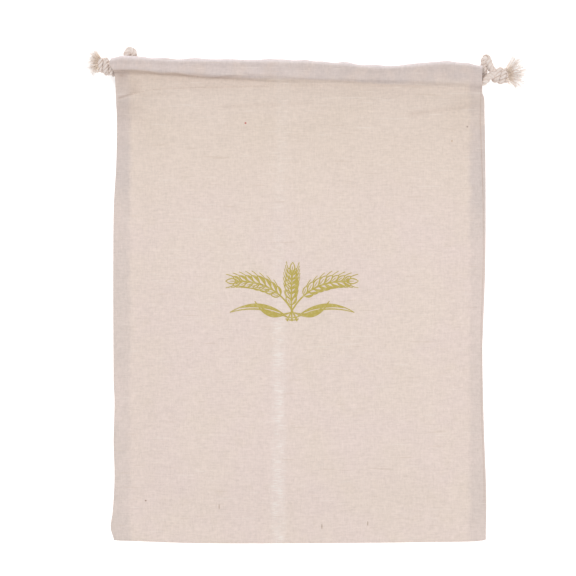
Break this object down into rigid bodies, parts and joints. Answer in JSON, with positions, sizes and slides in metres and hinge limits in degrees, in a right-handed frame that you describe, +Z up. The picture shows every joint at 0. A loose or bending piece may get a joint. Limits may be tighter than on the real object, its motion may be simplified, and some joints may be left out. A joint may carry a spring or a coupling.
{
  "type": "linen drawstring bread bag",
  "caption": "Flat linen bread bag lying on its back, with a hemmed mouth, cotton drawstrings that end in overhand knots with frayed tufts, and a printed sprig of grain.",
  "frame": {"origin": "middle of the back panel's underside, on the surface that the bag lies on", "axes": "+X to the right and +Y from the foot to the mouth as the front is read, +Z up out of the front panel"},
  "size_m": [0.3488, 0.3999, 0.0186],
  "materials": {
    "linen": "matte plain weave",
    "cotton_cord": "matte twisted strands",
    "frayed_cotton": "matte loose fibres"
  },
  "bodies": {
    "root": {"bag_cloth": "linen", "drawstring_left": "cotton_cord", "drawstring_right": "cotton_cord", "knot_left": "frayed_cotton", "knot_right": "frayed_cotton"}
  },
  "joints": []
}
